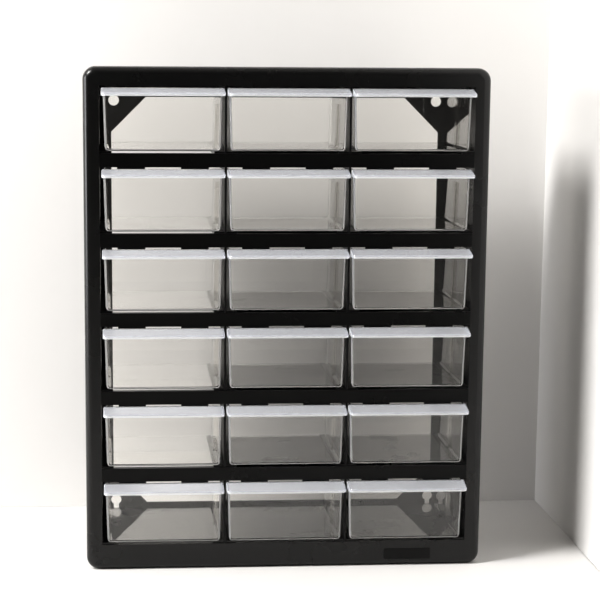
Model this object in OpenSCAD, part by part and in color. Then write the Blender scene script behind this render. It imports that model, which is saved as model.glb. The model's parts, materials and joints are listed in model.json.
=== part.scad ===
// Parts bin cabinet: a moulded casing with clear drawers that slide on rails.
// X is across the front, Y runs from the front to the back, Z is up.
// The origin is at the middle of the overall box, on the surface it stands on.

/* [Cabinet] */
// Depth from the face of the bezel to the back
case_d = 117; // [115:1:150]
// Width of the bezel at each side
bezel_side = 12.5; // [11:0.1:16]
// Height of the bezel over the top row
bezel_top = 14.6; // [12:0.1:20]
// Height of the bezel under the bottom row, up to that row's floor
bezel_bottom = 20.8; // [18:0.1:24]
// Corner radius of the outline, seen from the front
corner_r = 10; // [8:0.5:14]
// Radius of the soft outer edge round the bezel
edge_r = 6; // [4:0.5:7]

/* [Grid] */
// Number of rows of drawers
rows = 6; // [2:1:8]
// Number of columns of drawers
cols = 3; // [3:1:3]
// Distance from one column to the next
col_pitch = 97.3; // [97.3:0.1:98]
// Distance from one row to the next
row_pitch = 62.4; // [62.4:0.1:63]
// Clear height of a bay at its mouth
bay_h = 51.6; // [51.6:0.1:52.4]
// Thickness of an upright
upright_t = 1.8; // [1.6:0.1:2]
// Thickness of a shelf's floor
shelf_t = 2; // [1.8:0.1:2.4]

/* [Drawer] */
// Width across the rim
drawer_w = 93; // [90:0.5:93]
// Height from the underside to the rim
drawer_h = 48.7; // [48.2:0.1:48.7]
// Length from the front to the back
drawer_l = 110; // [100:1:110]
// How much each side leans in towards the bottom
side_draft = 1.3; // [0.8:0.1:1.6]
// Wall thickness
drawer_t = 1.6; // [1.4:0.1:1.8]
// Radius along the bottom edges at the sides
drawer_r = 4; // [3:0.5:5]
// Radius of the edges round the front and back walls
end_r = 1.8; // [1.5:0.1:2.5]
// Width of the awning lip
lip_w = 95.1; // [93.5:0.1:95.1]
// How far the lip stands out in front
lip_d = 16; // [12:1:20]
// How far the lip slopes down to its front edge
lip_drop = 3.5; // [2:0.1:5]
// Height of the lip's front edge
lip_edge_h = 2.4; // [2:0.1:3.5]

/* [Wall mounting] */
// Distance of a keyhole from the middle, sideways
keyhole_x = 135; // [130:0.1:138]
// Height of a lower keyhole, and the same from the top for an upper one
keyhole_z = 29.4; // [27:0.1:32]
// Diameter of a keyhole's head
keyhole_d = 8.8; // [8:0.1:10]
// Width of a keyhole's slot
keyhole_slot_w = 4.4; // [4:0.1:5]

/* [Hidden] */
$fn = 64;

// Planes that the pieces meet on, and the overall size
side_play = 0.55;
face_y = lip_d - (case_d + lip_d) / 2;
back_y = face_y + case_d;
opening_x = cols * col_pitch / 2 + side_play;
opening_top = bezel_bottom + (rows - 1) * row_pitch + bay_h;
cabinet_w = 2 * (opening_x + bezel_side);
cabinet_h = opening_top + bezel_top;

// Bezel and the liner behind it
bezel_t = 2.4;
skirt_d = 18;
liner_t = 2.2;
liner_d = 112;
groove = 1.2;
groove_y = face_y + 6;

// Rear shell
shell_step = 0.8;
shell_t = 2.6;
shell_taper = 1;
tongue_d = 8;
tongue_t = 2;
tongue_root = 4;
rim_t = 2.5;
rim_x = opening_x - 9.3;
rim_z = 26.6;
gusset_leg = 28.7;
keyhole_drop = 7;

// Shelves and uprights
fascia_h = row_pitch - bay_h;
fascia_t = 2;
flange_d = 8;
flange_t = 1.8;
lap_y = 0;
upright_inset = 0.6;
rail_h = 1.4;
rail_front = 1.5;
rail_back = 109;
rail_x = 39.75;
tab_w = 21.6;
tab_x = 24.75;
tab_h = 3;
tab_t = 2.4;
tab_y = drawer_t + 0.5;

// Drawer details
drawer_lift = 1.5;
front_draft = 0.5;
back_draft = 1.4;
tightest_r = 0.4;
corner_out = 0.02;
lip_t = 1.5;
lip_slope = atan2(lip_drop, lip_d);
lip_corner_r = 3.5;
lip_end_r = 2.5;
lip_nose_r = 1.2;
lip_root = 0.8;
slot_y = 50;
slot_w = 2;
slot_rib = 1.6;
slot_top = 35;

// Nameplate
plate_w = 38;
plate_h = 9;
plate_t = 0.8;
plate_x = cabinet_w / 2 - 59.5;
plate_z = 10;
plate_sunk = 0.5;
plate_r = 1;

// How far a cut runs past the face it opens
past = 1;

case_black = "#19191b";
shelf_black = "#1d1d1f";
clear_plastic = [0.86, 0.89, 0.92, 0.45];

function drawer_name(r, c) = str("drawer_r", r, "c", c);
function row_z(r) = bezel_bottom + (rows - r) * row_pitch;
function column_x(c) = (c - (cols + 1) / 2) * col_pitch;
function upright_x(i) = (i - cols / 2) * col_pitch;
function bay_left(c) = c == 1 ? -opening_x : upright_x(c - 1) + upright_t / 2;
function bay_right(c) = c == cols ? opening_x : upright_x(c) - upright_t / 2;

// ---- Shared shapes ----

// Extrudes a shape drawn as (X, Z) along Y, from y0 over a length.
module along_y(y0, length) {
    translate([0, y0 + length, 0])
        rotate([90, 0, 0])
            linear_extrude(length) children();
}

// Extrudes a shape drawn as (Y, Z) along X, centred over a width.
module along_x(width) {
    rotate([90, 0, 90])
        linear_extrude(width, center = true) children();
}

// A box from one corner to the other.
module block(low, high) {
    translate(low) cube(high - low);
}

// A rectangle from one corner to the other, with round corners.
module round_rect(low, high, r) {
    translate(low + [r, 0]) square([high.x - low.x - 2 * r, high.y - low.y]);
    translate(low + [0, r]) square([high.x - low.x, high.y - low.y - 2 * r]);
    for (x = [low.x + r, high.x - r], y = [low.y + r, high.y - r])
        translate([x, y]) circle(r);
}

// The casing's outline seen from the front, inset all round, or with the
// base at a height of its own.
module outline(inset, base = undef) {
    round_rect([inset - cabinet_w / 2, is_undef(base) ? inset : base],
               [cabinet_w / 2 - inset, cabinet_h - inset], corner_r - inset);
}

// A rectangle centred on X from y = 0 back to d, with round front corners.
module soft_front(half_w, d, r) {
    translate([-half_w, r]) square([2 * half_w, d - r]);
    translate([r - half_w, 0]) square([2 * (half_w - r), d]);
    for (side = [-1, 1])
        translate([side * (half_w - r), r]) circle(r);
}

// A slab with the casing's outline and a round edge along its front.
module soft_slab(inset, y0, d, r) {
    corner = corner_r - inset;
    corner_x = cabinet_w / 2 - corner_r;
    corner_z = [corner_r, cabinet_h - corner_r];
    translate([0, y0, corner_z[0]])
        linear_extrude(corner_z[1] - corner_z[0])
            soft_front(corner_x + corner, d, r);
    translate([0, y0, cabinet_h / 2])
        rotate([0, 90, 0])
            linear_extrude(2 * corner_x, center = true)
                soft_front(cabinet_h / 2 - inset, d, r);
    for (x = [-corner_x, corner_x], z = corner_z)
        translate([x, y0 + d, z])
            rotate([90, 0, 0])
                rotate_extrude() {
                    square([corner, d - r]);
                    square([corner - r, d]);
                    translate([corner - r, d - r])
                        intersection() {
                            circle(r);
                            square(r);
                        }
                }
}

// The two rails under each drawer of a row whose floor is at z.
module rails(z) {
    for (c = [1:cols]) {
        x = column_x(c);
        front = face_y + rail_front;
        back = face_y + rail_back;
        block([bay_left(c), front, z], [x - rail_x, back, z + rail_h]);
        block([x + rail_x, front, z], [bay_right(c), back, z + rail_h]);
    }
}

// The stop tabs that hang over each drawer of a row from a ceiling at z.
module stop_tabs(z) {
    for (c = [1:cols], side = [-1, 1]) {
        x = column_x(c) + side * tab_x;
        y = face_y + tab_y;
        block([x - tab_w / 2, y, z - tab_h], [x + tab_w / 2, y + tab_t, z + flange_t / 2]);
    }
}

// ---- Casing ----

// The casing's solid form behind the bezel, flat under and tapered to the back.
// It can be inset, and then its back stands that far forward.
module shell_form(inset, back) {
    front = face_y + skirt_d;
    half_w = cabinet_w / 2 - shell_step - inset;
    top = cabinet_h - shell_step - inset;
    intersection() {
        along_y(front - past, back - front + past)
            outline(shell_step + inset, inset > 0 ? shell_step + inset : 0);
        linear_extrude(cabinet_h)
            polygon([[-half_w, front], [half_w, front],
                     [half_w - shell_taper, back], [shell_taper - half_w, back]]);
        along_x(cabinet_w)
            polygon([[front, 0], [back, 0], [back, top - shell_taper], [front, top]]);
    }
}

// A keyhole: the head, and a slot that runs away from the casing's middle.
module keyhole(away) {
    circle(d = keyhole_d);
    translate([0, away * keyhole_drop]) circle(d = keyhole_slot_w);
    translate([-keyhole_slot_w / 2, away > 0 ? 0 : -keyhole_drop])
        square([keyhole_slot_w, keyhole_drop]);
}

// The open back, with a gusset left across each corner.
module back_opening() {
    low = rim_z;
    high = cabinet_h - rim_z;
    polygon([[-rim_x, low + gusset_leg], [gusset_leg - rim_x, low],
             [rim_x - gusset_leg, low], [rim_x, low + gusset_leg],
             [rim_x, high - gusset_leg], [rim_x - gusset_leg, high],
             [gusset_leg - rim_x, high], [-rim_x, high - gusset_leg]]);
}

module rear_shell() {
    front = face_y + skirt_d;
    color(case_black) {
        difference() {
            shell_form(0, back_y);
            shell_form(shell_t, back_y - rim_t);
            along_y(back_y - rim_t - past, rim_t + 2 * past) back_opening();
            along_y(back_y - rim_t - past, rim_t + 2 * past)
                for (side = [-1, 1]) {
                    translate([side * keyhole_x, keyhole_z]) keyhole(-1);
                    translate([side * keyhole_x, cabinet_h - keyhole_z]) keyhole(1);
                }
        }
        // tongue that fits inside the bezel's skirt
        along_y(front - tongue_d, tongue_d + tongue_root)
            difference() {
                outline(bezel_t);
                outline(bezel_t + tongue_t);
            }
    }
}

module front_frame() {
    half_w = opening_x + liner_t;
    low = bezel_bottom - liner_t;
    high = opening_top + liner_t;
    back = face_y + liner_d;
    color(case_black)
        difference() {
            union() {
                // bezel with its skirt
                difference() {
                    soft_slab(0, face_y, skirt_d, edge_r);
                    soft_slab(bezel_t, face_y + bezel_t, skirt_d, edge_r - bezel_t);
                }
                // liner round all the bays
                block([-half_w, face_y + bezel_t / 2, low], [half_w, back, high]);
            }
            // the bays
            difference() {
                block([-opening_x, face_y - past, bezel_bottom], [opening_x, back + past, opening_top]);
                rails(bezel_bottom);
                stop_tabs(opening_top);
            }
            // grooves for the shelves
            for (i = [1:rows - 1])
                block([-opening_x - groove, groove_y, row_z(i) - shelf_t],
                      [opening_x + groove, back + past, row_z(i)]);
            // grooves for the uprights
            for (i = [1:cols - 1])
                block([upright_x(i) - upright_t / 2, groove_y, bezel_bottom - groove],
                      [upright_x(i) + upright_t / 2, back + past, opening_top + groove]);
            // seat for the nameplate
            nameplate_form(plate_sunk + past, face_y - past);
        }
}

// ---- Shelves and uprights ----

module shelf(i) {
    z = row_z(i);
    back = face_y + liner_d;
    color(shelf_black) {
        difference() {
            union() {
                block([-opening_x, face_y, z - shelf_t], [opening_x, back, z]);
                block([-opening_x - groove, groove_y, z - shelf_t], [opening_x + groove, back, z]);
            }
            // half-laps that the uprights fill
            for (k = [1:cols - 1])
                block([upright_x(k) - upright_t / 2, lap_y, z - shelf_t - past],
                      [upright_x(k) + upright_t / 2, back + past, z + past]);
        }
        // fascia, and the flange behind its lower edge
        block([-opening_x, face_y, z - fascia_h], [opening_x, face_y + fascia_t, z]);
        block([-opening_x, face_y, z - fascia_h],
              [opening_x, face_y + flange_d, z - fascia_h + flange_t]);
        rails(z);
        stop_tabs(z - fascia_h);
    }
}

module upright(i) {
    back = face_y + liner_d;
    low = bezel_bottom;
    color(shelf_black)
        translate([upright_x(i), 0, 0])
            difference() {
                union() {
                    block([-upright_t / 2, face_y + upright_inset, low],
                          [upright_t / 2, back, opening_top]);
                    block([-upright_t / 2, groove_y, low - groove],
                          [upright_t / 2, back, opening_top + groove]);
                }
                for (k = [1:rows - 1]) {
                    z = row_z(k);
                    // half-lap that the shelf's floor fills
                    block([-past, face_y - past, z - shelf_t], [past, lap_y, z]);
                    // room for its fascia and flange
                    block([-past, face_y - past, z - fascia_h], [past, face_y + flange_d, z]);
                }
            }
}

module nameplate_form(depth, y0) {
    along_y(y0, depth)
        translate([plate_x, plate_z])
            round_rect([-plate_w / 2, -plate_h / 2], [plate_w / 2, plate_h / 2], plate_r);
}

module nameplate() {
    color("#232326")
        nameplate_form(plate_t, face_y + plate_sunk - plate_t);
}

// ---- Drawer ----

// A pan's section: sides that lean in towards the bottom, with round bottom
// edges. low_a and low_b are where the sides would meet the bottom.
module pan_section(low_a, low_b, top_a, top_b, h, r) {
    lean_a = atan2(low_a - top_a, h);
    lean_b = atan2(top_b - low_b, h);
    a = low_a + r * (1 - sin(lean_a)) / cos(lean_a);
    b = low_b - r * (1 - sin(lean_b)) / cos(lean_b);
    polygon([[a, 0], [b, 0],
             [b + r * cos(lean_b), r - r * sin(lean_b)], [top_b, h],
             [top_a, h], [a - r * cos(lean_a), r - r * sin(lean_a)]]);
    translate([a, r]) circle(r);
    translate([b, r]) circle(r);
}

// What rounds off an upright corner of the pan, at its right. The corner starts
// at low and moves out by lean over the height h, as the two walls do.
module corner_cut(low, lean, h, r) {
    turn_y = atan2(lean.x, h);
    turn_x = atan2(-lean.y * cos(turn_y), h);
    out = lean.y > 0 ? 1 : -1;
    translate([low.x, low.y, 0])
        rotate([turn_x, turn_y, 0])
            translate([0, 0, -past])
                linear_extrude(h + 4 * past)
                    difference() {
                        translate([-r, out > 0 ? -r : -past]) square(r + past);
                        translate([corner_out - r, out * (corner_out - r)]) circle(r);
                    }
}

// The drawer's pan as one solid, inset from its outside by t.
// Its front is at y = 0 and its underside at z = 0.
module pan(t) {
    h = drawer_h - t;
    low_x = drawer_w / 2 - t - side_draft;
    low_y = [t + front_draft, drawer_l - t - back_draft];
    end = max(end_r - t, tightest_r);
    k = t > 0 ? (h + past) / h : 1;
    translate([0, 0, t])
        difference() {
            intersection() {
                along_y(0, drawer_l)
                    pan_section(-low_x, low_x, -low_x - side_draft * k, low_x + side_draft * k,
                                h * k, drawer_r - t);
                along_x(drawer_w + past)
                    pan_section(low_y[0], low_y[1], low_y[0] - front_draft * k,
                                low_y[1] + back_draft * k, h * k, end);
            }
            for (left = [0, 1])
                mirror([left, 0, 0]) {
                    corner_cut([low_x, low_y[0]], [side_draft, -front_draft], h, end);
                    corner_cut([low_x, low_y[1]], [side_draft, back_draft], h, end);
                }
        }
}

// The awning lip's solid form, inset by t; open below where it is inset.
module lip_form(t) {
    half_w = lip_w / 2 - t;
    front = t - lip_d;
    slope_z = -t / cos(lip_slope);
    nose = max(lip_nose_r - t, 0.2);
    nose_y = front + nose;
    nose_z = slope_z + nose_y * tan(lip_slope) - nose / cos(lip_slope);
    low = -lip_drop - lip_edge_h - (t > 0 ? past : 0);
    root = t > 0 ? 0 : lip_root;
    translate([0, 0, drawer_h])
        intersection() {
            along_x(lip_w + past) {
                polygon([[root, slope_z], [0, slope_z],
                         [nose_y - nose * sin(lip_slope), nose_z + nose * cos(lip_slope)],
                         [front, nose_z], [front, low], [root, low]]);
                translate([nose_y, nose_z]) circle(nose);
            }
            translate([0, 0, low - past])
                linear_extrude(past - low + past) {
                    intersection() {
                        round_rect([-half_w, front], [half_w, lip_d], lip_corner_r - t);
                        translate([-lip_w, -lip_d]) square([2 * lip_w, lip_d]);
                    }
                    translate([-drawer_w / 2 + lip_root, -past])
                        square([drawer_w - 2 * lip_root, past + root]);
                }
            rotate([lip_slope, 0, 0])
                along_y(-2 * lip_d, 3 * lip_d)
                    round_rect([-half_w, -2 * lip_d], [half_w, slope_z * cos(lip_slope)],
                               lip_end_r - t);
        }
}

// Two ribs on each side wall that hold a divider between them.
module divider_slots() {
    wall_x = drawer_w / 2 - drawer_t;
    low_x = wall_x - side_draft;
    k = slot_top / drawer_h;
    for (side = [-1, 1], y = [slot_y - slot_w / 2 - slot_rib, slot_y + slot_w / 2])
        along_y(y, slot_rib)
            scale([side, 1])
                polygon([[low_x - slot_rib, drawer_t / 2], [low_x + drawer_t / 2, drawer_r],
                         [low_x + drawer_t / 2 + side_draft * k, slot_top],
                         [low_x - slot_rib + side_draft * k, slot_top]]);
}

module drawer(r, c) {
    color(clear_plastic)
        translate([column_x(c), face_y, row_z(r) + drawer_lift]) {
            difference() {
                pan(0);
                pan(drawer_t);
            }
            difference() {
                lip_form(0);
                lip_form(lip_t);
            }
            intersection() {
                divider_slots();
                pan(0);
            }
        }
}

rear_shell();
front_frame();
for (i = [1:rows - 1])
    shelf(i);
upright(1);  // upright_left
upright(2);  // upright_right
nameplate();
for (r = [1:rows], c = [1:cols])
    drawer(r, c);
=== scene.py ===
"""Parts bin cabinet: a black moulded casing, open at the back, and clear drawers on rails.

X runs across the front, Y from the front to the back and Z up, in metres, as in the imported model.
"""

import json
from math import atan, cos, pi, radians, sin, sqrt

import bmesh
import bpy
from mathutils import Matrix, Quaternion, Vector

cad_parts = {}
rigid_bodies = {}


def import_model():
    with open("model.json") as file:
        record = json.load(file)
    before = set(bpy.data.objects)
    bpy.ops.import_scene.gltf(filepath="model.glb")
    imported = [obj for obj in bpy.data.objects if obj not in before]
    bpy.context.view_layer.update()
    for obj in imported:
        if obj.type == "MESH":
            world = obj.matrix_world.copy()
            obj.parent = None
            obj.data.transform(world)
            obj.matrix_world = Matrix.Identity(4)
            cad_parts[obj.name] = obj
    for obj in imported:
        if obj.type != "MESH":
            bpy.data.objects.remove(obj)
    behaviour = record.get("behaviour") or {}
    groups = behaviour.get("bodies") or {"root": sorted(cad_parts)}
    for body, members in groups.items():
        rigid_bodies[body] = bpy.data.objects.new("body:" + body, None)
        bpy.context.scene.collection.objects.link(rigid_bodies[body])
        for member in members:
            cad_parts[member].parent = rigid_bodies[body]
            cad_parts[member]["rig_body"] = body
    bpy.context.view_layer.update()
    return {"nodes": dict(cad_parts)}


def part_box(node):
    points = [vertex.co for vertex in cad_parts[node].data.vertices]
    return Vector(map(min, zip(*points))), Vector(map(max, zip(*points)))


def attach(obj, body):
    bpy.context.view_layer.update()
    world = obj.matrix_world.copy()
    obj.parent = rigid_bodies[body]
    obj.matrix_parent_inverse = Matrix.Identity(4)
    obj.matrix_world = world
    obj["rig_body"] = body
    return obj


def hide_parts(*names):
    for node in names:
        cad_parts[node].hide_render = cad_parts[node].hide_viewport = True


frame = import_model()

MM = 0.001

# ---- Sizes, in millimetres ----

# Small rounds that the moulds leave on the black pieces' edges
CASE_ROUND = 0.5
SHELF_ROUND = 0.3
PLATE_ROUND = 0.25
ROUND_SEGMENTS = 2
# Edges that turn by more than this are rounded
SHARP_ANGLE = radians(32)
# Points this near to each other are one, and faces that turn by less than this are one flat
SAME_POINT = 0.002
FLAT_ANGLE = radians(0.6)

# The openings in a shelf's floor between its rails, one under each drawer and open to the back:
# half their width, their start behind the fascia's face, their depth from the rails' top down,
# and how far the cut runs past the plastic
COLUMN_PITCH = 97.3
OPENING_HALF = 39.75
OPENING_FRONT = 6.0
OPENING_DEPTH = 3.9
CUT_PAST = 0.5

# A drawer's pan
RIM_WIDTH = 93.0
DRAWER_HEIGHT = 48.7
DRAWER_LENGTH = 110.0
DRAWER_WALL = 1.6
SIDE_LEAN = 1.3
FRONT_LEAN = 0.5
BACK_LEAN = 1.4
BOTTOM_ROUND = 4.0
END_ROUND = 1.8
TIGHTEST_ROUND = 0.4
RIM_ROUND = 0.35
# How far back and up the front's outer rounds reach that get the whiter edge plastic, a painted
# highlight for the light these rounds catch
EDGE_GLOW_BAND = 1.5
# Steps round the pan's and the lip's corners, round a small edge and round the lip's nose
ARC_STEPS = 9
ROUND_STEPS = 3
NOSE_STEPS = 5

# Its awning lip
LIP_WIDTH = 95.1
LIP_REACH = 16.0
LIP_DROP = 3.5
LIP_EDGE = 2.4
LIP_WALL = 1.5
LIP_CORNER = 3.5
LIP_NOSE = 1.1
LIP_ROOT = 0.3
LIP_FOOT = 0.3
# How far its top sits under the pan's rim
LIP_SINK = 0.05
# It is frosted in front of this place; within this band at its two ends, and under its nose, it
# gets a whiter plastic, a painted highlight for the light its edges carry
FROST_FRONT = -0.1
LIP_END_GLOW_BAND = 0.2

# The ribs that hold a divider, two on each side wall
RIB_PLACE = 50.0
RIB_GAP = 2.0
RIB_WIDTH = 1.6
RIB_TOP = 35.0
RIB_PROUD = 1.6

# Two faces of a drawer that turn by more than this meet in a crisp edge
CRISP_ANGLE = radians(40)

# ---- Helpers ----


def link_object(name, data):
    """A new object with this data, in the scene."""
    made = bpy.data.objects.new(name, data)
    bpy.context.scene.collection.objects.link(made)
    return made


def delete_object(thing):
    """Removes an object and its mesh."""
    mesh = thing.data
    bpy.data.objects.remove(thing)
    bpy.data.meshes.remove(mesh)


def mesh_of(name, shape):
    """A mesh made of an edited shape, which is then let go."""
    mesh = bpy.data.meshes.new(name)
    shape.to_mesh(mesh)
    shape.free()
    return mesh


def add_node(tree, kind, links=None, **settings):
    """A node with its settings, and its inputs set to values or linked from sockets."""
    node = tree.nodes.new(kind)
    for key, value in settings.items():
        setattr(node, key, value)
    for key, value in (links or {}).items():
        if isinstance(value, bpy.types.NodeSocket):
            tree.links.new(value, node.inputs[key])
        else:
            node.inputs[key].default_value = value
    return node


# ---- Shader groups ----


def shader_group(name, inputs, outputs):
    """An empty shader node group with its sockets; returns it with its two end nodes."""
    group = bpy.data.node_groups.new(name, "ShaderNodeTree")
    for socket_name, kind, value in inputs:
        socket = group.interface.new_socket(socket_name, in_out="INPUT", socket_type=kind)
        if value is not None:
            socket.default_value = value
    for socket_name, kind in outputs:
        group.interface.new_socket(socket_name, in_out="OUTPUT", socket_type=kind)
    return group, group.nodes.new("NodeGroupInput"), group.nodes.new("NodeGroupOutput")


def make_mould_grain():
    """The fine spark-eroded grain of a moulded face, with broad patches where it is smoother."""
    group, start, end = shader_group(
        "mould_grain",
        [("Vector", "NodeSocketVector", None), ("Grain Scale", "NodeSocketFloat", 1400.0),
         ("Patch Scale", "NodeSocketFloat", 14.0)],
        [("Height", "NodeSocketFloat"), ("Patches", "NodeSocketFloat")])
    grain = add_node(group, "ShaderNodeTexNoise",
                     {"Vector": start.outputs["Vector"], "Scale": start.outputs["Grain Scale"],
                      "Detail": 3.0, "Roughness": 0.6})
    patches = add_node(group, "ShaderNodeTexNoise",
                       {"Vector": start.outputs["Vector"], "Scale": start.outputs["Patch Scale"],
                        "Detail": 5.0, "Roughness": 0.62})
    group.links.new(grain.outputs["Fac"], end.inputs["Height"])
    group.links.new(patches.outputs["Fac"], end.inputs["Patches"])
    return group


def make_edge_rub():
    """A mask that is 1 on rubbed stretches of the outer edges and 0 elsewhere."""
    group, start, end = shader_group(
        "edge_rub",
        [("Vector", "NodeSocketVector", None), ("Reach", "NodeSocketFloat", 0.0012),
         ("Amount", "NodeSocketFloat", 0.5)],
        [("Mask", "NodeSocketFloat")])
    rounded = add_node(group, "ShaderNodeBevel", {"Radius": start.outputs["Reach"]}, samples=4)
    geometry = add_node(group, "ShaderNodeNewGeometry")
    facing = add_node(group, "ShaderNodeVectorMath",
                      {0: rounded.outputs["Normal"], 1: geometry.outputs["Normal"]},
                      operation="DOT_PRODUCT")
    turned = add_node(group, "ShaderNodeMapRange",
                      {"Value": facing.outputs["Value"], "From Min": 0.995, "From Max": 0.8})
    breaks = add_node(group, "ShaderNodeTexNoise",
                      {"Vector": start.outputs["Vector"], "Scale": 160.0, "Detail": 4.0})
    broken = add_node(group, "ShaderNodeMapRange",
                      {"Value": breaks.outputs["Fac"], "From Min": 0.42, "From Max": 0.66})
    worn = add_node(group, "ShaderNodeMath",
                    {0: turned.outputs["Result"], 1: broken.outputs["Result"]},
                    operation="MULTIPLY")
    mask = add_node(group, "ShaderNodeMath",
                    {0: worn.outputs["Value"], 1: start.outputs["Amount"]}, operation="MULTIPLY")
    group.links.new(mask.outputs["Value"], end.inputs["Mask"])
    return group


def make_handling_haze():
    """Fine scuffs and smudges on clear plastic, as a mask from 0 to 1, and its faint waviness."""
    group, start, end = shader_group(
        "handling_haze",
        [("Vector", "NodeSocketVector", None), ("Smudge Scale", "NodeSocketFloat", 38.0),
         ("Wave Scale", "NodeSocketFloat", 22.0)],
        [("Mask", "NodeSocketFloat"), ("Wave", "NodeSocketFloat")])
    smudge = add_node(group, "ShaderNodeTexNoise",
                      {"Vector": start.outputs["Vector"], "Scale": start.outputs["Smudge Scale"],
                       "Detail": 6.0, "Roughness": 0.65, "Distortion": 0.4})
    mask = add_node(group, "ShaderNodeMapRange",
                    {"Value": smudge.outputs["Fac"], "From Min": 0.5, "From Max": 0.75})
    wave = add_node(group, "ShaderNodeTexNoise",
                    {"Vector": start.outputs["Vector"], "Scale": start.outputs["Wave Scale"],
                     "Detail": 1.0})
    group.links.new(mask.outputs["Result"], end.inputs["Mask"])
    group.links.new(wave.outputs["Fac"], end.inputs["Wave"])
    return group


MOULD_GRAIN = make_mould_grain()
EDGE_RUB = make_edge_rub()
HANDLING_HAZE = make_handling_haze()

# ---- Materials ----

# A Mix node's two colour inputs and its colour output, by their places in its lists
MIX_A, MIX_B, MIX_RESULT = 6, 7, 2
STYRENE_IOR = 1.5


def new_material(name):
    """A material with its object coordinates, Principled shader and output."""
    material = bpy.data.materials.new(name)
    material.use_nodes = True
    tree = material.node_tree
    tree.nodes.clear()
    output = tree.nodes.new("ShaderNodeOutputMaterial")
    shader = tree.nodes.new("ShaderNodeBsdfPrincipled")
    where = tree.nodes.new("ShaderNodeTexCoord").outputs["Object"]
    return material, tree, where, shader, output


def mix_with_clear(tree, mask, shader, colour, output):
    """Ends a material with its shader, and lets light through with this colour by a mask."""
    clear = add_node(tree, "ShaderNodeBsdfTransparent", {"Color": (*colour, 1)})
    mix = add_node(tree, "ShaderNodeMixShader",
                   {"Fac": mask, 1: shader.outputs["BSDF"], 2: clear.outputs["BSDF"]})
    tree.links.new(mix.outputs["Shader"], output.inputs["Surface"])


def black_plastic(name, colour, rubbed, smooth, rough, grain_depth, gloss):
    """Satin black moulded plastic: grain, smoother patches and faintly rubbed edges.

    The roughness runs from smooth to rough, the grain is grain_depth millimetres deep, and
    gloss is the strength of the reflections."""
    material, tree, where, shader, output = new_material(name)
    grain = add_node(tree, "ShaderNodeGroup", {"Vector": where}, node_tree=MOULD_GRAIN)
    rub = add_node(tree, "ShaderNodeGroup", {"Vector": where}, node_tree=EDGE_RUB)
    tint = add_node(tree, "ShaderNodeMix",
                    {0: rub.outputs["Mask"], MIX_A: (*colour, 1), MIX_B: (*rubbed, 1)},
                    data_type="RGBA")
    sheen = add_node(tree, "ShaderNodeMapRange",
                     {"Value": grain.outputs["Patches"], "From Min": 0.3, "From Max": 0.7,
                      "To Min": smooth, "To Max": rough})
    bump = add_node(tree, "ShaderNodeBump",
                    {"Height": grain.outputs["Height"], "Strength": 0.35,
                     "Distance": grain_depth * MM})
    shader.inputs["Specular IOR Level"].default_value = gloss
    tree.links.new(tint.outputs[MIX_RESULT], shader.inputs["Base Color"])
    tree.links.new(sheen.outputs["Result"], shader.inputs["Roughness"])
    tree.links.new(bump.outputs["Normal"], shader.inputs["Normal"])
    tree.links.new(shader.outputs["BSDF"], output.inputs["Surface"])
    return material


def clear_plastic(name, colour, smooth, hazed, pass_colour, transmission):
    """Clear styrene that refracts what is behind it, and lets the lamps through.

    The roughness runs from smooth to hazed where it has been handled; pass_colour is what
    each face leaves of a lamp's light."""
    material, tree, where, shader, output = new_material(name)
    haze = add_node(tree, "ShaderNodeGroup", {"Vector": where}, node_tree=HANDLING_HAZE)
    rough = add_node(tree, "ShaderNodeMapRange",
                     {"Value": haze.outputs["Mask"], "To Min": smooth, "To Max": hazed})
    bump = add_node(tree, "ShaderNodeBump",
                    {"Height": haze.outputs["Wave"], "Strength": 0.25, "Distance": 0.25 * MM})
    shader.inputs["Base Color"].default_value = (*colour, 1)
    shader.inputs["IOR"].default_value = STYRENE_IOR
    shader.inputs["Transmission Weight"].default_value = transmission
    tree.links.new(rough.outputs["Result"], shader.inputs["Roughness"])
    tree.links.new(bump.outputs["Normal"], shader.inputs["Normal"])
    path = tree.nodes.new("ShaderNodeLightPath")
    mix_with_clear(tree, path.outputs["Is Shadow Ray"], shader, pass_colour, output)
    return material


CASE_BLACK = black_plastic(
    "case_black", colour=(0.004, 0.004, 0.004), rubbed=(0.015, 0.015, 0.015),
    smooth=0.23, rough=0.29, grain_depth=0.05, gloss=0.4)
SHELF_BLACK = black_plastic(
    "shelf_black", colour=(0.003, 0.003, 0.003), rubbed=(0.012, 0.012, 0.013),
    smooth=0.26, rough=0.32, grain_depth=0.05, gloss=0.2)
PLATE_BLACK = black_plastic(
    "plate_gloss", colour=(0.003, 0.003, 0.003), rubbed=(0.02, 0.02, 0.02),
    smooth=0.06, rough=0.12, grain_depth=0.01, gloss=0.2)
DRAWER_CLEAR = clear_plastic(
    "drawer_clear", colour=(1.0, 0.993, 0.977), smooth=0.012, hazed=0.05,
    pass_colour=(0.975, 0.97, 0.96), transmission=0.998)
# The front's outer rounds: a whiter, less clear plastic, a painted highlight in place of the light
# these rounds reflect and carry
DRAWER_EDGE_GLOW = clear_plastic(
    "drawer_edge_glow", colour=(0.97, 0.97, 0.96), smooth=0.15, hazed=0.25,
    pass_colour=(0.9, 0.9, 0.89), transmission=0.7)
LIP_FROST = clear_plastic(
    "lip_frost", colour=(0.94, 0.96, 1.0), smooth=0.14, hazed=0.26,
    pass_colour=(0.85, 0.86, 0.89), transmission=0.74)
# The lip's lower edge and its two ends: a whiter, less clear plastic, a painted highlight in place
# of the light carried along the clear plastic to its edges
LIP_GLOW_PLASTIC = clear_plastic(
    "lip_edge_glow", colour=(0.97, 0.98, 1.0), smooth=0.3, hazed=0.4,
    pass_colour=(0.7, 0.71, 0.73), transmission=0.5)

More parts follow.
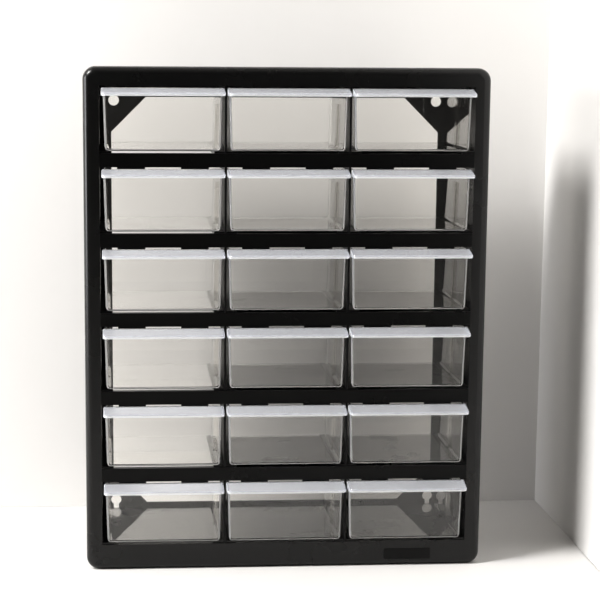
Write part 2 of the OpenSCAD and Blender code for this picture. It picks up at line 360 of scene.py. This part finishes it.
# ---- Black pieces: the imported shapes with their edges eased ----


def floor_cutter(node):
    """Three boxes that open a shelf's floor between its rails."""
    low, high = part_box(node)
    shape = bmesh.new()
    for column in (-1, 0, 1):
        middle = column * COLUMN_PITCH * MM
        corner = Vector((middle - OPENING_HALF * MM, low.y + OPENING_FRONT * MM,
                         high.z - OPENING_DEPTH * MM))
        size = Vector((2 * OPENING_HALF * MM, high.y + CUT_PAST * MM - corner.y,
                       (OPENING_DEPTH + CUT_PAST) * MM))
        place = Matrix.LocRotScale(corner + size / 2, None, size)
        bmesh.ops.create_cube(shape, size=1, matrix=place)
    return link_object(node + "_openings", mesh_of(node + "_openings", shape))


def eased_piece(node, name, material, round_mm, cutter=None):
    """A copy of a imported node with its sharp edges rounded, to stand for that node.

    A cutter is taken out of it first, and then deleted."""
    source = frame["nodes"][node]
    shape = bmesh.new()
    shape.from_mesh(source.data)
    bmesh.ops.remove_doubles(shape, verts=shape.verts, dist=SAME_POINT * MM)
    bmesh.ops.dissolve_limit(shape, angle_limit=FLAT_ANGLE, verts=shape.verts, edges=shape.edges)
    mesh = mesh_of(name, shape)
    mesh.materials.clear()
    mesh.materials.append(material)
    piece = link_object(name, mesh)
    if cutter:
        cut = piece.modifiers.new("cut", "BOOLEAN")
        cut.operation = "DIFFERENCE"
        cut.solver = "EXACT"
        cut.object = cutter
    ease = piece.modifiers.new("ease", "BEVEL")
    ease.width = round_mm * MM
    ease.segments = ROUND_SEGMENTS
    ease.limit_method = "ANGLE"
    ease.angle_limit = SHARP_ANGLE
    ease.use_clamp_overlap = True
    finish_mesh(piece)
    if cutter:
        delete_object(cutter)
    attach(piece, source["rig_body"])
    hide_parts(node)


def finish_mesh(piece):
    """Turns the piece's modifiers into a plain mesh, smooth over rounds and flat on flats."""
    for polygon in piece.data.polygons:
        polygon.use_smooth = True
    weigh = piece.modifiers.new("flats", "WEIGHTED_NORMAL")
    weigh.weight = 100
    weigh.keep_sharp = True
    graph = bpy.context.evaluated_depsgraph_get()
    made = bpy.data.meshes.new_from_object(piece.evaluated_get(graph), depsgraph=graph)
    piece.modifiers.clear()
    old = piece.data
    piece.data = made
    made.name = piece.name
    bpy.data.meshes.remove(old)


# ---- Drawers ----


def arc(steps, start=0.0, end=pi / 2):
    """Angles along an arc, both ends included."""
    return [start + (end - start) * i / steps for i in range(steps + 1)]


def plan_ring(half_width, front, back, radius, z):
    """A rounded rectangle seen from above, anticlockwise from the front right corner."""
    right, left = half_width - radius, radius - half_width
    near, far = front + radius, back - radius
    centres = [(right, near, -pi / 2), (right, far, 0.0), (left, far, pi / 2), (left, near, pi)]
    return [Vector((x + radius * cos(turn + a), y + radius * sin(turn + a), z))
            for x, y, turn in centres for a in arc(ARC_STEPS)]


def curl_in(radius, rise):
    """How far a round of this radius has curled a wall in, at the height rise over its floor."""
    return radius - sqrt(max(radius ** 2 - (radius - rise) ** 2, 0)) if rise < radius else 0


def pan_ring(inset, z, bottom):
    """The pan's outline at a height, inset from its outside, over a floor at the height bottom."""
    lean = 1 - z / DRAWER_HEIGHT
    end = max(END_ROUND - inset, TIGHTEST_ROUND)
    side_curl = curl_in(BOTTOM_ROUND - bottom, z - bottom)
    end_curl = curl_in(end, z - bottom)
    plan = max(end - max(side_curl, end_curl), TIGHTEST_ROUND)
    return plan_ring(RIM_WIDTH / 2 - SIDE_LEAN * lean - inset - side_curl,
                     FRONT_LEAN * lean + inset + end_curl,
                     DRAWER_LENGTH - BACK_LEAN * lean - inset - end_curl, plan, z)


def pan_rings():
    """The pan's rings from under its floor, over the rim and down to the top of its floor."""
    out = [pan_ring(0, BOTTOM_ROUND * (1 - cos(a)), 0) for a in arc(ARC_STEPS)]
    rim = [pan_ring(RIM_ROUND * (1 - cos(a)), DRAWER_HEIGHT - RIM_ROUND * (1 - sin(a)), 0)
           for a in arc(ROUND_STEPS)]
    top = [pan_ring(DRAWER_WALL - RIM_ROUND * (1 - sin(a)),
                    DRAWER_HEIGHT - RIM_ROUND * (1 - cos(a)), 0)
           for a in arc(ROUND_STEPS)]
    inner = BOTTOM_ROUND - DRAWER_WALL
    down = [pan_ring(DRAWER_WALL, DRAWER_WALL + inner * (1 - sin(a)), DRAWER_WALL)
            for a in arc(ARC_STEPS)]
    return out + rim + top + down


def lip_ring(inset, drop):
    """The lip's outline from its left root round the front to its right root.

    It is inset from the outside, and lies the height drop under the sloping top."""
    radius = max(LIP_CORNER - inset, TIGHTEST_ROUND)
    side = LIP_WIDTH / 2 - inset
    front = inset - LIP_REACH
    turns = [Vector((radius - side - radius * cos(a), front + radius - radius * sin(a), 0))
             for a in arc(ARC_STEPS)]
    path = [Vector((-side, LIP_ROOT, 0))] + turns
    path += [Vector((-p.x, p.y, 0)) for p in reversed(path)]
    for p in path:
        p.z = DRAWER_HEIGHT - LIP_SINK + LIP_DROP * min(p.y, 0) / LIP_REACH - drop
    return path


def lip_foot_ring(inset, rise):
    """The lip's outline at its level lower edge, inset from the outside and raised by rise."""
    path = lip_ring(inset, 0)
    for p in path:
        p.z = DRAWER_HEIGHT - LIP_DROP - LIP_EDGE + rise
    return path


def lip_rings():
    """The lip's rings from its top, round the nose, under the edge and up to its ceiling."""
    nose = [lip_ring(LIP_NOSE * (1 - sin(a)), LIP_NOSE * (1 - cos(a))) for a in arc(NOSE_STEPS)]
    foot = [lip_foot_ring(LIP_FOOT * (1 - cos(a)), LIP_FOOT * (1 - sin(a)))
            for a in arc(ROUND_STEPS)]
    heel = [lip_foot_ring(LIP_WALL - LIP_FOOT * (1 - sin(a)), LIP_FOOT * (1 - cos(a)))
            for a in arc(ROUND_STEPS)]
    ceiling = [lip_ring(LIP_WALL + LIP_FOOT * (1 - cos(a)), LIP_WALL + LIP_FOOT * (1 - sin(a)))
               for a in arc(ROUND_STEPS)]
    return nose + foot + heel + ceiling


def add_rings(shape, rings, closed):
    """Joins rings of points with quads and caps them; open rings also along their ends."""
    loops = [[shape.verts.new(p * MM) for p in ring] for ring in rings]
    count = len(loops[0])
    for low, high in zip(loops, loops[1:]):
        for i in range(count if closed else count - 1):
            j = (i + 1) % count
            shape.faces.new((low[i], low[j], high[j], high[i]))
    shape.faces.new(list(reversed(loops[0])))
    shape.faces.new(loops[-1])
    if not closed:
        shape.faces.new([loop[0] for loop in loops] + [loop[-1] for loop in reversed(loops)])


def make_rib_tree():
    """Geometry nodes that fuse a pan, its lip and its divider ribs into one moulding.

    They also give its lip a frosted plastic, and its front's outer rounds and its lip's rim their
    own whiter plastics, painted highlights for the light these edges catch and carry."""
    tree = bpy.data.node_groups.new("divider_ribs", "GeometryNodeTree")
    sockets = tree.interface
    sockets.new_socket("Geometry", in_out="INPUT", socket_type="NodeSocketGeometry")
    for name in ("Half Width", "Lean", "Rib Place", "Rib Pitch", "Rib Width", "Rib Proud",
                 "Rib Height"):
        sockets.new_socket(name, in_out="INPUT", socket_type="NodeSocketFloat")
    for name in ("Clear", "Edge", "Frosted", "Lip Edge Glow"):
        sockets.new_socket(name, in_out="INPUT", socket_type="NodeSocketMaterial")
    sockets.new_socket("Geometry", in_out="OUTPUT", socket_type="NodeSocketGeometry")
    start = tree.nodes.new("NodeGroupInput").outputs
    end = tree.nodes.new("NodeGroupOutput")

    def combine(x, y, z):
        return add_node(tree, "ShaderNodeCombineXYZ", {"X": x, "Y": y, "Z": z}).outputs["Vector"]

    def maths(a, b, operation):
        return add_node(tree, "ShaderNodeMath", {0: a, 1: b},
                        operation=operation).outputs["Value"]

    def times(a, b):
        return maths(a, b, "MULTIPLY")

    def less(a, b):
        return maths(a, b, "SUBTRACT")

    def compare(socket, value, operation):
        return add_node(tree, "FunctionNodeCompare", {"A": socket, "B": value},
                        operation=operation).outputs["Result"]

    def both(a, b, operation):
        return add_node(tree, "FunctionNodeBooleanMath", {0: a, 1: b},
                        operation=operation).outputs["Boolean"]

    rib = add_node(tree, "GeometryNodeMeshCube",
                   {"Size": combine(times(start["Rib Proud"], 2.0), start["Rib Width"],
                                    start["Rib Height"])}).outputs["Mesh"]
    sides = []
    for side in (1.0, -1.0):
        place = combine(times(start["Half Width"], side),
                        less(start["Rib Place"], times(start["Rib Pitch"], 0.5)),
                        times(start["Rib Height"], 0.5))
        pair = add_node(tree, "GeometryNodeMeshLine",
                        {"Count": 2, "Start Location": place,
                         "Offset": combine(0.0, start["Rib Pitch"], 0.0)}).outputs["Mesh"]
        ribs = add_node(tree, "GeometryNodeInstanceOnPoints",
                        {"Points": pair, "Instance": rib,
                         "Rotation": combine(0.0, times(start["Lean"], side), 0.0)})
        sides.append(ribs.outputs["Instances"])
    joined = tree.nodes.new("GeometryNodeJoinGeometry")
    for ribs in sides:
        tree.links.new(ribs, joined.inputs["Geometry"])
    real = add_node(tree, "GeometryNodeRealizeInstances", {"Geometry": joined.outputs["Geometry"]})
    fused = add_node(tree, "GeometryNodeMeshBoolean", operation="UNION", solver="EXACT")
    tree.links.new(start["Geometry"], fused.inputs["Mesh 2"])
    tree.links.new(real.outputs["Geometry"], fused.inputs["Mesh 2"])
    fused.inputs["Self Intersection"].default_value = True
    clear = add_node(tree, "GeometryNodeSetMaterial",
                     {"Geometry": fused.outputs["Mesh"], "Material": start["Clear"]})

    place = add_node(tree, "ShaderNodeSeparateXYZ",
                     {"Vector": tree.nodes.new("GeometryNodeInputPosition").outputs["Position"]})
    from_middle = add_node(tree, "ShaderNodeMath", {0: place.outputs["X"]}, operation="ABSOLUTE")
    across, back, up = from_middle.outputs["Value"], place.outputs["Y"], place.outputs["Z"]

    # The front's outer rounds get the whiter edge plastic, a painted highlight
    at_front = compare(back, EDGE_GLOW_BAND * MM, "LESS_THAN")
    at_edge = both(compare(across, (RIM_WIDTH / 2 - SIDE_LEAN - END_ROUND) * MM, "GREATER_THAN"),
                   compare(up, EDGE_GLOW_BAND * MM, "LESS_THAN"), "OR")
    edge_glow_set = add_node(tree, "GeometryNodeSetMaterial",
                     {"Geometry": clear.outputs["Geometry"],
                      "Selection": both(at_front, at_edge, "AND"), "Material": start["Edge"]})
    on_lip = compare(back, FROST_FRONT * MM, "LESS_THAN")
    frosted = add_node(tree, "GeometryNodeSetMaterial",
                       {"Geometry": edge_glow_set.outputs["Geometry"], "Selection": on_lip,
                        "Material": start["Frosted"]})
    # The lip's lower edge and its two ends get the whiter plastic, a painted highlight
    under_nose = both(compare(back, (LIP_NOSE - LIP_REACH) * MM, "LESS_THAN"),
                      compare(up, (DRAWER_HEIGHT - LIP_DROP - LIP_NOSE) * MM, "LESS_THAN"), "AND")
    at_end = both(on_lip, compare(across, (LIP_WIDTH / 2 - LIP_END_GLOW_BAND) * MM, "GREATER_THAN"),
                  "AND")
    lip_glow_set = add_node(tree, "GeometryNodeSetMaterial",
                     {"Geometry": frosted.outputs["Geometry"],
                      "Selection": both(under_nose, at_end, "OR"), "Material": start["Lip Edge Glow"]})

    angle = tree.nodes.new("GeometryNodeInputMeshEdgeAngle").outputs["Unsigned Angle"]
    split = add_node(tree, "GeometryNodeSetShadeSmooth",
                     {"Geometry": lip_glow_set.outputs["Geometry"],
                      "Selection": compare(angle, CRISP_ANGLE, "GREATER_THAN"),
                      "Shade Smooth": False}, domain="EDGE")
    tree.links.new(split.outputs["Geometry"], end.inputs["Geometry"])
    return tree


def set_input(modifier, name, value):
    """Sets a geometry nodes modifier's input by its socket's identifier."""
    for item in modifier.node_group.interface.items_tree:
        if item.item_type == "SOCKET" and item.in_out == "INPUT" and item.name == name:
            modifier[item.identifier] = value


def make_drawer_mould():
    """One drawer about its own place: its front at y = 0, its underside at z = 0."""
    shape = bmesh.new()
    add_rings(shape, pan_rings(), closed=True)
    add_rings(shape, lip_rings(), closed=False)
    bmesh.ops.recalc_face_normals(shape, faces=shape.faces)
    mould = link_object("drawer_mould", mesh_of("drawer_mould", shape))
    ribs = mould.modifiers.new("ribs", "NODES")
    ribs.node_group = make_rib_tree()
    lean = atan(SIDE_LEAN / DRAWER_HEIGHT)
    wall_x = RIM_WIDTH / 2 - SIDE_LEAN * (1 - RIB_TOP / 2 / DRAWER_HEIGHT) - DRAWER_WALL
    for name, value in {
            "Half Width": wall_x * MM, "Lean": lean, "Rib Place": RIB_PLACE * MM,
            "Rib Pitch": (RIB_GAP + RIB_WIDTH) * MM, "Rib Width": RIB_WIDTH * MM,
            "Rib Proud": RIB_PROUD * MM, "Rib Height": RIB_TOP * MM,
            "Clear": DRAWER_CLEAR, "Edge": DRAWER_EDGE_GLOW, "Frosted": LIP_FROST,
            "Lip Edge Glow": LIP_GLOW_PLASTIC}.items():
        set_input(ribs, name, value)
    finish_mesh(mould)
    return mould


def place_drawers():
    """A finished drawer for each drawer node, in its place."""
    mould = make_drawer_mould()
    for node, source in frame["nodes"].items():
        if not node.startswith("drawer_"):
            continue
        low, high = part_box(node)
        mesh = mould.data.copy()
        mesh.name = node + "_shell"
        mesh.transform(Matrix.Translation(((low.x + high.x) / 2, low.y + LIP_REACH * MM, low.z)))
        piece = link_object(node + "_shell", mesh)
        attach(piece, source["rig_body"])
        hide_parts(node)
    delete_object(mould)


# ---- Stage, light and camera ----

# Where the camera stands, in metres, and how it is turned, in degrees
CAMERA_PLACE = Vector((-0.1368, -1.4857, 0.42))
CAMERA_TURN_RIGHT = 4.649
CAMERA_LOOK_DOWN = 9.845
CAMERA_ROLL = 0.395
# The frame's width, and the lens's focal length and centre in it, in pixels
FRAME_PIXELS = 600
FOCAL_PIXELS = 1846.9
CENTRE_PIXELS = (261.25, 360.0)
SENSOR = 36.0

# The pale corner the cabinet stands in
WALL_BEHIND = 0.155
WALL_RIGHT = 0.252
WALL_RIGHT_FRONT = -0.55
STAGE_HALF = 4.0
STAGE_TOP = 3.0
JOINT_GAP = 0.0008

# A soft lamp at the upper left that throws the shadow, a broad one overhead and one low on the
# left: name, place, target, sides in metres, watts, colour and the beam's spread in degrees
LAMPS = (
    ("key", (-1.2, -0.6, 1.48), (0, 0.1, 0.2), (0.48, 0.48), 12.3, (1.0, 0.985, 0.965), 110),
    ("overhead", (-0.2, -0.3, 1.8), (0, 0, 0), (1.4, 1.0), 0.9, (1.0, 0.95, 0.88), 120),
    ("window", (-1.4, -0.2, 0.4), (0, 0.1, 0.2), (0.5, 0.7), 5.0, (0.98, 0.98, 1.0), 120),
)
# The dim light that comes from all round
SURROUND_COLOUR = (1.0, 0.96, 0.92)
SURROUND_STRENGTH = 0.1

# How often light may bounce, and how many clear faces it may pass on its way from a lamp
BOUNCES = 24
CLEAR_FACES = 32


def paper(name, colour):
    """Matt pale paper with a faint tooth, seen only from its front."""
    material, tree, where, shader, output = new_material(name)
    tooth = add_node(tree, "ShaderNodeTexNoise", {"Vector": where, "Scale": 900.0, "Detail": 2.0})
    bump = add_node(tree, "ShaderNodeBump",
                    {"Height": tooth.outputs["Fac"], "Strength": 0.1, "Distance": 0.1 * MM})
    shader.inputs["Base Color"].default_value = (*colour, 1)
    shader.inputs["Roughness"].default_value = 0.8
    shader.inputs["Specular IOR Level"].default_value = 0.2
    tree.links.new(bump.outputs["Normal"], shader.inputs["Normal"])
    geometry = tree.nodes.new("ShaderNodeNewGeometry")
    mix_with_clear(tree, geometry.outputs["Backfacing"], shader, (1, 1, 1), output)
    return material


def stage_sheet(name, corners, material):
    """A flat sheet with these corners, its front on the side they run anticlockwise on."""
    mesh = bpy.data.meshes.new(name)
    mesh.from_pydata(corners, [], [tuple(range(len(corners)))])
    mesh.materials.append(material)
    sheet = link_object(name, mesh)


def make_stage():
    """A pale floor with a pale wall behind and one on the right, seen only from their fronts."""
    pale = paper("pale_paper", (0.82, 0.81, 0.795))
    edge, low, top = STAGE_HALF, JOINT_GAP, STAGE_TOP
    stage_sheet("floor", [(-edge, -edge, 0), (edge, -edge, 0), (edge, edge, 0), (-edge, edge, 0)],
                pale)
    stage_sheet("back_wall", [(-edge, WALL_BEHIND, low), (WALL_RIGHT, WALL_BEHIND, low),
                              (WALL_RIGHT, WALL_BEHIND, top), (-edge, WALL_BEHIND, top)], pale)
    stage_sheet("right_wall", [(WALL_RIGHT, WALL_BEHIND, low), (WALL_RIGHT, WALL_RIGHT_FRONT, low),
                               (WALL_RIGHT, WALL_RIGHT_FRONT, top), (WALL_RIGHT, WALL_BEHIND, top)],
                pale)


def area_lamp(name, place, target, size, power, colour, spread):
    """A soft rectangular lamp turned to a target, its beam narrowed to a spread in degrees."""
    data = bpy.data.lights.new(name, "AREA")
    data.spread = radians(spread)
    data.shape = "RECTANGLE"
    data.size, data.size_y = size
    data.energy = power
    data.color = colour
    lamp = link_object(name, data)
    lamp.location = place
    aim = Vector(target) - Vector(place)
    lamp.rotation_mode = "QUATERNION"
    lamp.rotation_quaternion = aim.to_track_quat("-Z", "Y")


def make_light():
    """The lamps and the dim light from all round."""
    for lamp in LAMPS:
        area_lamp(*lamp)
    world = bpy.data.worlds.new("surround")
    world.use_nodes = True
    back = world.node_tree.nodes["Background"]
    back.inputs["Color"].default_value = (*SURROUND_COLOUR, 1)
    back.inputs["Strength"].default_value = SURROUND_STRENGTH
    bpy.context.scene.world = world


def make_camera():
    """The camera a little above the middle, turned slightly to the right."""
    data = bpy.data.cameras.new("camera")
    data.sensor_width = SENSOR
    data.lens = SENSOR * FOCAL_PIXELS / FRAME_PIXELS
    data.shift_x = (FRAME_PIXELS / 2 - CENTRE_PIXELS[0]) / FRAME_PIXELS
    data.shift_y = (CENTRE_PIXELS[1] - FRAME_PIXELS / 2) / FRAME_PIXELS
    data.clip_start, data.clip_end = 0.05, 20
    camera = link_object("camera", data)
    camera.location = CAMERA_PLACE
    camera.rotation_mode = "QUATERNION"
    camera.rotation_quaternion = (
        Quaternion((0, 0, 1), -radians(CAMERA_TURN_RIGHT))
        @ Quaternion((1, 0, 0), radians(90 - CAMERA_LOOK_DOWN))
        @ Quaternion((0, 0, 1), radians(CAMERA_ROLL)))
    bpy.context.scene.camera = camera


# ---- Build ----

make_camera()
make_stage()
make_light()

eased_piece("rear_shell", "rear_casing", CASE_BLACK, CASE_ROUND)
eased_piece("front_frame", "front_bezel", CASE_BLACK, SHELF_ROUND)
for node in frame["nodes"]:
    if node.startswith("shelf_"):
        eased_piece(node, node + "_panel", SHELF_BLACK, SHELF_ROUND,
                    cutter=floor_cutter(node))
    elif node.startswith("upright_"):
        eased_piece(node, node + "_panel", SHELF_BLACK, SHELF_ROUND)
eased_piece("nameplate", "blank_plate", PLATE_BLACK, PLATE_ROUND)
place_drawers()

scene = bpy.context.scene
scene.view_settings.view_transform = "Standard"
scene.view_settings.look = "Medium High Contrast"
scene.cycles.max_bounces = BOUNCES
scene.cycles.transmission_bounces = BOUNCES
scene.cycles.transparent_max_bounces = CLEAR_FACES
scene.cycles.caustics_reflective = False
scene.cycles.caustics_refractive = False
